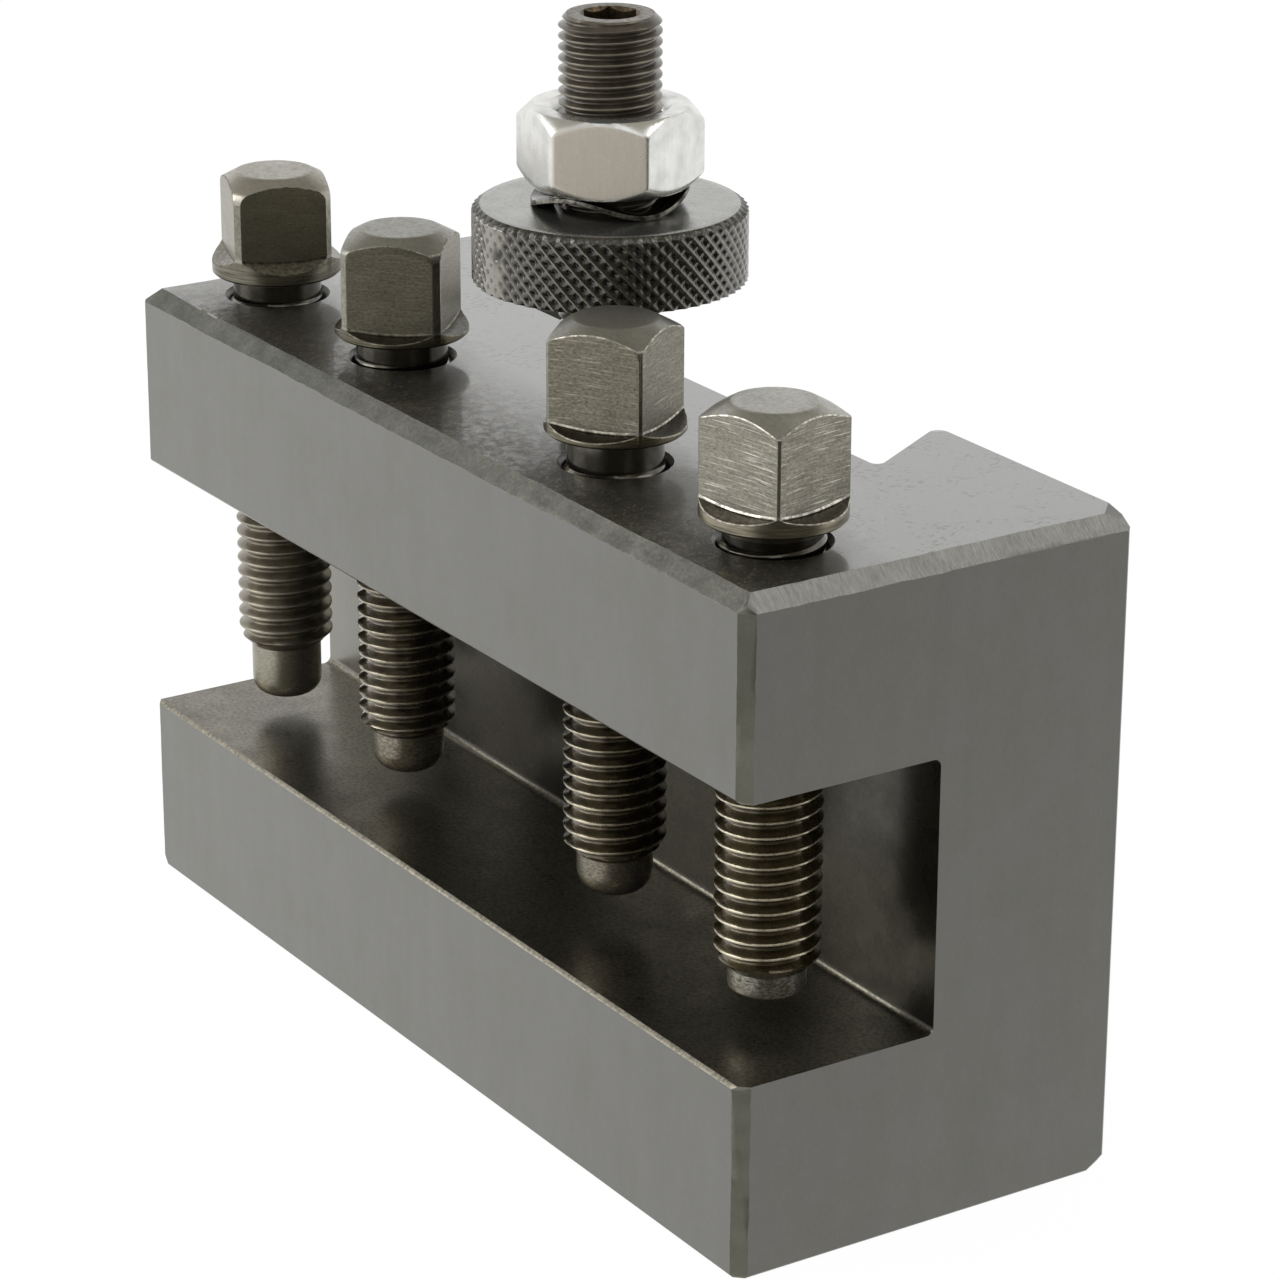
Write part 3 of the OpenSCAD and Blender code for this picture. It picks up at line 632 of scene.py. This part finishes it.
def makeScrew(number):
    # A screw turned about its axis: each belt's rows are (radius, height above the tip) over the angle, and
    # the head's radius is the smaller of the blank and half / cos(angle from the flat)
    s = ofScrew(screw, number)
    half, blank, disc, edge = s["acrossFlats"] / 2, s["blank"], s["disc"], s["edge"]
    local = headAngles(half, blank)
    angle = local + math.radians(s["turn"])
    length = block["height"] + s["lift"] - s["tip"]
    centre = (s["x"], s["y"], s["tip"])
    dog, dogEnd, rounding, neck = s["dog"], s["dogLength"], s["tipRound"], s["neck"]
    neckAt, neckTop = length - s["neckLength"], length - 0.6
    tip = [(0, 0), (max(dog - rounding - 0.6, 0.5), 0)]
    for a in np.linspace(0, rightAngle, 9):
        tip.append((dog - rounding * (1 - math.sin(a)), rounding * (1 - math.cos(a))))
    tip.append((dog, dogEnd))
    root = s["thread"] - s["depth"]

    def upper(z):
        flare = neck + s["flare"] * np.maximum(neckAt - z, 0) ** 2
        return np.minimum(s["thread"], np.minimum(dog + z - dogEnd, flare))

    def lower(z):
        return root + (neck - root) * ease((z - neckAt + s["rise"]) / s["rise"])

    # The head's outline: the turned blank, or the flat where that is nearer the axis
    fromFlat = (local + math.pi / 4) % rightAngle - math.pi / 4
    meet = math.acos(half / blank)
    outline = softMin(np.full(len(local), blank), half / np.cos(fromFlat), 0.05)
    onFlat = ease((meet - np.abs(fromFlat)) / 0.1)
    # The cone of the head's top, rounded into the blank by an arc of radius shoulder
    slope, bend = math.tan(math.radians(s["cone"])), math.radians(90 - s["cone"])
    arc, peak = s["shoulder"], length + s["head"]
    arcFoot = s["head"] - (blank - disc) * slope - arc * math.tan(bend / 2)
    arcTop = blank - arc * (1 - math.cos(bend))

    def crown(r):
        rounded = arcFoot + np.sqrt(np.maximum(arc ** 2 - (r - blank + arc) ** 2, 0))
        return length + np.where(r > arcTop, rounded, s["head"] - np.maximum(r - disc, 0) * slope)

    # The milled foot: lower in the middle of the flat, and falling outwards to the rim
    across = np.clip(half * np.tan(fromFlat), -half * math.tan(meet), half * math.tan(meet))
    foot = length + s["foot"] + s["sag"] * (across / 4.4) ** 2
    rim = foot - math.tan(math.radians(s["fall"])) * np.maximum(blank * np.cos(fromFlat) - half, 0)
    rimEdge = blank - 0.08 * onFlat
    lip = s["lip"] * onFlat
    flange = [(neck, neckTop), (neck + 0.03, length - 0.12), (neck + 0.14, length),
              (blank - edge - 0.1, length), (blank - edge, length + 0.01),
              (blank - 0.03, length + edge - 0.03), (blank, length + edge), (blank, rim - 0.12 * onFlat)]
    brim = [flange[-1], (blank - 0.02 * onFlat, rim - 0.04 * onFlat), (rimEdge, rim)]
    inner = np.minimum(outline + 0.02, rimEdge)
    ledge = [(rimEdge + (inner - rimEdge) * t, rim + (foot - rim) * t) for t in (0, 0.5, 1)]
    burr = [ledge[-1], (outline + lip * 0.8, foot + 0.05), (outline + lip, foot + 0.13),
            (outline + lip * 0.7, foot + 0.22), (outline, foot + 0.3)]
    soft = s["soften"] * onFlat
    eased = outline - 0.75 * soft
    brow = crown(outline)
    wall = [burr[-1], (outline, foot + 0.4)]
    wall += [(outline, foot + (brow - foot) * t) for t in (0.12, 0.3, 0.6, 0.9)] + [(outline, brow - soft)]
    worn = [wall[-1], (outline - 0.2 * soft, brow - 0.25 * soft), (eased, crown(eased) - 0.05 * soft)]
    rings = [blank - arc * (1 - math.cos(a)) for a in np.linspace(0.15, 1, 7) * bend]
    rings += [disc + (arcTop - disc) * t for t in (0.75, 0.5, 0.25)] + [disc + 0.12]
    cone = [worn[-1]] + [(np.minimum(eased, r), crown(np.minimum(eased, r))) for r in rings]
    cone += [(disc - 0.1, peak - 0.005), (disc - 0.4, peak), (disc * 0.5, peak), (0, peak)]
    # Columns that lie on a flat; on the flats' own map each flat and each screw has its place
    within = np.abs(fromFlat) < meet - 0.004
    within = (within[:-1] & within[1:])[None, :]
    side = np.floor((local + math.pi / 4) / rightAngle)
    radius, height = rowsOf(wall, angle)
    bow = s["bow"] * across ** 2 + s["tilt"] * across
    chart = np.stack([np.broadcast_to(across + 23 * side + 7 * number, radius.shape), height + bow], axis=-1)
    part = screwPart
    belts = [belt(tip, angle, part["dog"], centre),
             threadBelt(angle, dogEnd, neckAt, s, upper, lower, part["thread"], centre,
                        (part["neck"], s["runOut"])),
             belt([(neck, neckAt), (neck, length - 3), (neck, neckTop)], angle, part["neck"], centre),
             belt(flange, angle, part["rim"], centre),
             belt(brim, angle, np.where(within, part["burr"], part["rim"]), centre),
             belt(ledge, angle, part["ledge"], centre),
             belt(burr, angle, np.where(within, part["burr"], part["cone"]), centre),
             beltOf(radius, height, angle, np.where(within, part["flat"], part["corner"]), centre, chart),
             belt(worn, angle, np.where(within, part["burr"], part["cone"]), centre),
             belt(cone, angle, part["cone"], centre)]
    label = str(number + 1)
    mesh = makeMesh("screw" + label, belts)
    place("screw" + label, mesh, "screw_" + label, "clamp_screw_" + label,
          screwFinishes("screw" + label, ofScrew(screwLook, number)))


for number in range(len(screw["x"])):
    makeScrew(number)


stud = {
    "y": 1.05, "thread": 5.0, "bottom": 53.0, "top": 103.6, "pitch": 1.06, "depth": 0.62, "phase": 0.0,
    "bevel": 0.75, "socket": 5.0, "socketDepth": 6.0,
    "crest": (0.21, 0.19, 0.145), "flank": (0.12, 0.102, 0.073), "flankDark": (0.07, 0.06, 0.043),
    "metal": 0.6, "coat": 0.5, "threadRough": 0.36}
# In this order on the mesh: thread, socket, ends
studFinish = [
    threadFinish("stud_thread", stud, 0.14, 0.14),
    speckledFinish("socket_steel", (0.15, 0.105, 0.06), (0.04, 0.034, 0.024), 0.4, 2.0, 0.01),
    speckledFinish("stud_end", (0.2, 0.18, 0.14), (0.1, 0.088, 0.066), 0.34, 2.0, 0.01)]


def makeStud():
    # Threaded rod with bevelled ends; the socket's wall is r = half its flats / cos(angle from the flat)
    s = stud
    angle = np.linspace(0, turn, 97)
    centre = (0, s["y"], s["bottom"])
    length = s["top"] - s["bottom"]
    end = s["thread"] - s["bevel"]
    toSide = (angle + math.pi / 6) % (math.pi / 3) - math.pi / 6
    hexagon = s["socket"] / 2 / np.cos(toSide)
    corner = s["socket"] / 2 / math.cos(math.pi / 6)
    floor = length - s["socketDepth"]

    def upper(z):
        return np.minimum(s["thread"], end + np.minimum(z, length - z))

    def lower(z):
        return 0 * z

    face = [(end, length), (end - 0.1, length), (corner + 0.1, length), (corner, length - 0.01)]
    socket = [face[-1], (hexagon, length - corner + hexagon - 0.02), (hexagon, floor), (0, floor)]
    belts = [belt([(0, 0), (end, 0)], angle, 2, centre),
             threadBelt(angle, 0, length, s, upper, lower, 0, centre),
             belt(face, angle, 2, centre),
             belt(socket, angle, 1, centre)]
    place("stud", makeMesh("stud", belts, 30), "root", "height_stud", studFinish)


makeStud()


collar = {
    "bottom": 77.5, "height": 7.5, "radius": 13.45, "bore": 5.06, "count": 58, "rows": 9, "depth": 0.42,
    "foot": 0.15, "bevel": 0.5, "fine": 5,
    # Rounding of a ridge's crest, and how much lower the second family of ridges lies
    "crest": 0.07, "cross": 0.3,
    # Where the knurl is shallow, in degrees; smear and dent: degrees, share of the height, reach, depth
    "shallowAt": -90, "shallowWide": 9, "smear": (-88, 0.35, 0.6), "dent": (-85, 0.62, 0.6, 0.3),
    # Knurl tones: bare crest, oily flank, and the pits' near black of oil and painted shade
    "bare": (0.25, 0.239, 0.198), "oily": (0.12, 0.113, 0.091), "pit": (0.012, 0.011, 0.008)}


def knurlFinish():
    # The chart's height is the depth in the knurl: bare crests, oily flanks, and pits near black with oil and
    # painted shade
    finish, tree, shader = newFinish("knurl_steel", 0.9, 0.2, coat=1.0, coatRoughness=0.06)
    depth = axisOf(tree, put(tree, "TexCoord", {}, output="UV"), 1)
    wear = grain(tree, 1.1, 3)
    edge = sums(tree, "ADD", depth, ramp(tree, wear, 0.35, 0.65, -0.05, 0.05))
    colour = tint(tree, ramp(tree, edge, 0.15, 0.6), collar["oily"], collar["pit"])
    colour = tint(tree, ramp(tree, edge, 0.12, 0.0), colour, collar["bare"])
    feed(tree, shader, colour, ramp(tree, wear, 0.3, 0.7, 0.22, 0.14))
    bumped(tree, shader, wear, 0.006)
    return finish


# In this order on the mesh: knurl, faces and bore, bevel
collarFinish = [
    knurlFinish(),
    speckledFinish("collar_top", (0.34, 0.34, 0.32), (0.17, 0.17, 0.155), 0.2, 3.5, 0.004, low=0.22,
                   high=0.45),
    speckledFinish("collar_edge", (0.13, 0.127, 0.112), (0.04, 0.039, 0.032), 0.3, 3.5, 0.006)]


def makeCollar():
    # Rim: r = radius - depth pit(angle, height), where pit grows with the distance to the nearest ridge
    s = collar
    angle = np.linspace(0, turn, s["count"] * 2 * s["fine"] + 1)
    centre = (0, stud["y"], s["bottom"])
    band = s["height"] - s["foot"] - s["bevel"]
    up = np.linspace(0, 1, s["rows"] * s["fine"] + 1)[:, None]
    around = (angle / turn * s["count"] * 2)[None, :]
    degrees = (np.degrees(angle)[None, :] + 180) % 360 - 180

    def ridge(t):
        # Distance to the nearest whole number, 1 half-way between two
        return np.abs(t - np.round(t)) * 2

    def near(at, share, reach):
        along = np.radians(degrees - at) * s["radius"]
        return np.exp(-(along ** 2 + ((up - share) * band) ** 2) / reach ** 2)

    # Two families of ridges; the second lies lower by the share cross
    first, second = ridge((around + up * s["rows"]) / 2), ridge((around - up * s["rows"]) / 2)
    pit = np.minimum(first, s["cross"] + (1 - s["cross"]) * second)
    pit = np.sqrt(pit ** 2 + s["crest"] ** 2) - s["crest"]
    # Where the wheel pressed less the pits are small and flat land is left between them
    press = ease((np.abs(degrees - s["shallowAt"]) - s["shallowWide"] * 0.45) / (s["shallowWide"] * 0.75))
    pit = np.maximum(pit - 0.5 * (1 - press), 0) * (1 - 0.25 * (1 - press))
    pit = pit * (1 - ease(near(*s["smear"]) * 1.6))
    radius = s["radius"] - s["depth"] * pit - s["dent"][3] * near(*s["dent"][:3])
    height = s["foot"] + band * up + 0 * around
    inner = s["radius"] - s["depth"]
    foot, lip = inner - s["foot"], inner - s["bevel"] * 0.6
    top, bore = s["height"], s["bore"]
    belts = [belt([(bore, 0), (foot - 0.2, 0), (foot, 0)], angle, 1, centre),
             belt([(foot, 0), (radius[0], s["foot"])], angle, 0, centre),
             beltOf(radius, height, angle, 0, centre, chartOf(angle, (s["radius"] - radius) / s["depth"])),
             belt([(radius[-1], top - s["bevel"]), (lip + 0.03, top - 0.04), (lip - 0.1, top)], angle, 2,
                  centre),
             belt([(lip - 0.1, top), (inner - 1.2, top), (bore + 1, top), (bore, top), (bore, 0)], angle, 1,
                  centre)]
    place("collar", makeMesh("collar", belts, 60), "collar", "knurled_collar", collarFinish)


makeCollar()


washer = {
    "bottom": 85.0, "inner": 5.4, "outer": 7.7, "thickness": 0.5, "height": 2.05, "waves": 3,
    "crest": 297, "edge": 0.1}
washerFinish = [
    speckledFinish("spring_steel", (0.07, 0.066, 0.055), (0.045, 0.042, 0.034), 0.2, 1.5, 0.004, coat=0.6),
    edgeFinish("spring_edge", (0.3, 0.29, 0.25), (0.06, 0.055, 0.045), 0.9)]


def makeWasher():
    # Flat ring with rounded edges, lifted by half its free height times 1 + cos(waves (angle - crest))
    s = washer
    angle = np.linspace(0, turn, 145)
    lift = (s["height"] - s["thickness"]) / 2 * (1 + np.cos(s["waves"] * (angle - math.radians(s["crest"]))))
    middle, half = (s["inner"] + s["outer"]) / 2, (s["outer"] - s["inner"]) / 2
    thick, edge, cut = s["thickness"], s["edge"], s["edge"] * 0.3
    profile = [(half, edge), (half, thick - edge), (half - cut, thick - cut), (half - edge, thick),
               (edge - half, thick), (cut - half, thick - cut), (-half, thick - edge), (-half, edge),
               (cut - half, cut), (edge - half, 0), (half - edge, 0), (half - cut, cut), (half, edge)]
    rows = [(middle + r, z + lift) for r, z in profile]
    centre = (0, stud["y"], s["bottom"])
    mesh = makeMesh("washer", [belt(rows[:4], angle, 1, centre), belt(rows[3:], angle, 0, centre)])
    place("washer", mesh, "collar", "wave_washer", washerFinish)


makeWasher()


nut = {
    "bottom": 87.08, "height": 7.7, "acrossFlats": 16.0, "turn": 19.95, "bore": 5.06, "mouth": 0.9,
    "face": 7.68, "slope": 41, "cornerRound": 0.45, "chamferRound": 0.3,
    # Plating: two tones, and the tarnished flat's tone and direction from the nut's turn
    "bright": (0.8, 0.795, 0.765), "grey": (0.5, 0.515, 0.515), "stain": (0.8, 0.71, 0.59), "stainAt": -60}


def zincFinish():
    # Bright plating: fine upright brushing and grey mottling, and one flat tarnished to a pinkish tan
    finish, tree, shader = newFinish("zinc", 0.95, 0.24)
    brush = grain(tree, 1.0, 3, 0.6, stretch=(3.5, 3.5, 0.3))
    mottle = grain(tree, 0.5, 3, 0.5)
    facing = math.radians(nut["turn"] + nut["stainAt"])
    reach = toward(tree, placeIn(tree, shift=(0, -stud["y"], 0)), (math.cos(facing), math.sin(facing), 0))
    half = nut["acrossFlats"] / 2
    stained = ramp(tree, reach, half - 0.12, half - 0.02, 0, 0.8)
    colour = tint(tree, ramp(tree, mottle, 0.36, 0.72, 0, 0.5), nut["bright"], nut["grey"])
    colour = lighter(tree, tint(tree, stained, colour, nut["stain"]), brush, 0.04)
    feed(tree, shader, colour, ramp(tree, mottle, 0.4, 0.65, 0.22, 0.32),
         Metallic=ramp(tree, stained, 0, 0.8, 0.95, 0.25))
    bumped(tree, shader, brush, 0.003)
    return finish


def makeNut():
    # Hexagon: r = half / cos(angle from the flat), rounded where two flats meet; each end falls away outside
    # the face by (r - face) tan slope
    s = nut
    half = s["acrossFlats"] / 2
    step = [-30, -29.4, -28.6, -27.5, *np.linspace(-25, 25, 11), 27.5, 28.6, 29.4]
    local = np.concatenate([np.radians(step) + q * math.pi / 3 for q in range(6)])
    local = np.append(local, math.radians(330))
    angle = local + math.radians(s["turn"])
    fromFlat = (local + math.pi / 6) % (math.pi / 3) - math.pi / 6
    other = half / np.cos(math.pi / 3 - np.abs(fromFlat))
    outline = softMin(half / np.cos(fromFlat), other, s["cornerRound"])
    slope = math.tan(math.radians(s["slope"]))
    drop = (outline - s["face"]) * slope
    high, mouth, bore, face, soft = s["height"], s["mouth"], s["bore"], s["face"], s["chamferRound"]
    # The lower half from the bore outwards, then the same rows from above
    lower = [(bore, mouth), (bore + mouth - 0.05, 0.04), (bore + mouth + 0.08, 0), (face - 0.1, 0),
             (face + 0.1, 0.04), (outline - soft, drop - soft * slope + 0.01),
             (outline - soft * 0.2, drop + 0.02), (outline, drop + soft), (outline, drop + soft + 0.3)]
    profile = lower + [(outline, high / 2)] + [(r, high - z) for r, z in reversed(lower)] + [lower[0]]
    mesh = makeMesh("nut", [belt(profile, angle, 0, (0, stud["y"], s["bottom"]))], 45)
    place("nut", mesh, "nut", "lock_nut", [zincFinish()])


makeNut()


# What metal shows of the room: white, but dark in a sector behind and right of the camera, and dim overhead.
# Each edge is (where it begins, where it is full): along the sector's direction, and by height; a softbox
# above the camera is white again. Each lamp is (place, size, power)
studio = {
    "floor": 4.0, "floorAt": -0.0002, "floorTone": 0.9, "white": 1.03, "shadow": 0.06,
    "sky": (0.55, 0.55, 0.55), "dark": (0.1, 0.095, 0.075),
    "sector": (-12, 0.38, 0.74), "bottom": (-0.66, -0.4), "top": (0.82, 0.6),
    "ceiling": (0.35, 0.33, 0.275), "ceilingEdge": (0.42, 0.7),
    "softbox": ((0.42, -0.3, 0.857), 0.86, 0.95),
    "lamps": {"key": ((-0.55, -0.75, 0.65), (0.7, 0.7), 5.0),
              "back": ((0.32, 0.45, 0.75), (0.5, 0.4), 1.1)},
    "lampAim": (0, 0, 0.04)}
view = {
    "place": (356.39, -226.68, 200.05), "aim": (6.688, 0.334, 42.09), "roll": 0.22, "lens": 127.11,
    "sensor": 36, "nearest": 0.01}


def rayMask(tree, *names):
    # 1 for the named kinds of ray
    found = [put(tree, "LightPath", {}, output=name) for name in names]
    total = found[0]
    for other in found[1:]:
        total = sums(tree, "MAXIMUM", total, other)
    return total


def glossSky(tree):
    # White, times the dark sector and the dim ceiling, each with soft edges
    white = (1.0, 1.0, 1.0)
    sky = put(tree, "TexCoord", {}, output="Generated")
    height = axisOf(tree, sky, 2)
    heading, *sectorEdge = studio["sector"]
    heading = math.radians(heading)

    def soft(amount, edge):
        return ramp(tree, amount, *edge, kind="SMOOTHSTEP")

    amount = soft(toward(tree, sky, (math.cos(heading), math.sin(heading), 0)), sectorEdge)
    for edge in (studio["bottom"], studio["top"]):
        amount = sums(tree, "MULTIPLY", amount, soft(height, edge))
    colour = tint(tree, amount, white, studio["dark"])
    colour = tint(tree, soft(height, studio["ceilingEdge"]), colour, studio["ceiling"])
    direction, *boxEdge = studio["softbox"]
    colour = tint(tree, soft(toward(tree, sky, direction), boxEdge), colour, white)
    return tint(tree, rayMask(tree, "Is Camera Ray"), colour, white)


def makeFloor():
    half, low = studio["floor"] / 2, studio["floorAt"]
    mesh = bpy.data.meshes.new("floor")
    mesh.from_pydata([(-half, -half, low), (half, -half, low), (half, half, low), (-half, half, low)], [],
                     [(0, 1, 2, 3)])
    floor = add("floor", mesh)
    finish = bpy.data.materials.new("floor")
    finish.use_nodes = True
    tree = finish.node_tree
    tree.nodes.remove(tree.nodes["Principled BSDF"])
    matt = put(tree, "BsdfDiffuse", {"Color": (*[studio["floorTone"]] * 3, 1)})
    white = put(tree, "Emission", {"Color": (1, 1, 1, 1), "Strength": studio["white"]})
    seen = sums(tree, "MULTIPLY", rayMask(tree, "Is Camera Ray", "Is Transmission Ray"), 1 - studio["shadow"])
    ground = put(tree, "MixShader", {0: seen, 1: matt, 2: white})
    clear = put(tree, "BsdfTransparent", {})
    shown = put(tree, "MixShader", {0: rayMask(tree, "Is Glossy Ray"), 1: ground, 2: clear})
    tree.links.new(shown, tree.nodes["Material Output"].inputs[0])
    mesh.materials.append(finish)


def makeWorld():
    world = bpy.data.worlds.new("studio")
    bpy.context.scene.world = world
    world.use_nodes = True
    tree = world.node_tree
    seen = rayMask(tree, "Is Camera Ray", "Is Glossy Ray", "Is Transmission Ray")
    tree.links.new(tint(tree, seen, studio["sky"], glossSky(tree)), tree.nodes["Background"].inputs["Color"])


def toEuler(back, roll):
    # Turn of a lamp or camera whose back points along back, rolled about it: right, up and back as columns
    back = back / np.linalg.norm(back)
    right = np.cross((0, 0, 1), back)
    right /= np.linalg.norm(right)
    up = np.cross(back, right)
    c, s = math.cos(roll), math.sin(roll)
    basis = np.stack([right * c + up * s, -right * s + up * c, back], axis=1)
    return Matrix(basis.tolist()).to_euler()


def makeLamp(name, spot, size, power):
    lamp = bpy.data.lights.new(name, "AREA")
    lamp.shape = "RECTANGLE"
    lamp.size, lamp.size_y = size
    lamp.energy = power
    holder = add(name, lamp)
    holder.location = spot
    holder.rotation_euler = toEuler(np.subtract(spot, studio["lampAim"]), 0)


def makeCamera():
    spot, aim = np.array(view["place"]) * mm, np.array(view["aim"]) * mm
    camera = bpy.data.cameras.new("camera")
    camera.sensor_width = view["sensor"]
    camera.lens = view["lens"]
    camera.clip_start = view["nearest"]
    eye = add("camera", camera)
    eye.location = spot
    eye.rotation_euler = toEuler(spot - aim, math.radians(view["roll"]))
    bpy.context.scene.camera = eye


makeFloor()
makeWorld()
for name, (spot, size, power) in studio["lamps"].items():
    makeLamp(name, spot, size, power)
makeCamera()
bpy.context.scene.view_settings.view_transform = "Standard"
print("studio ready")
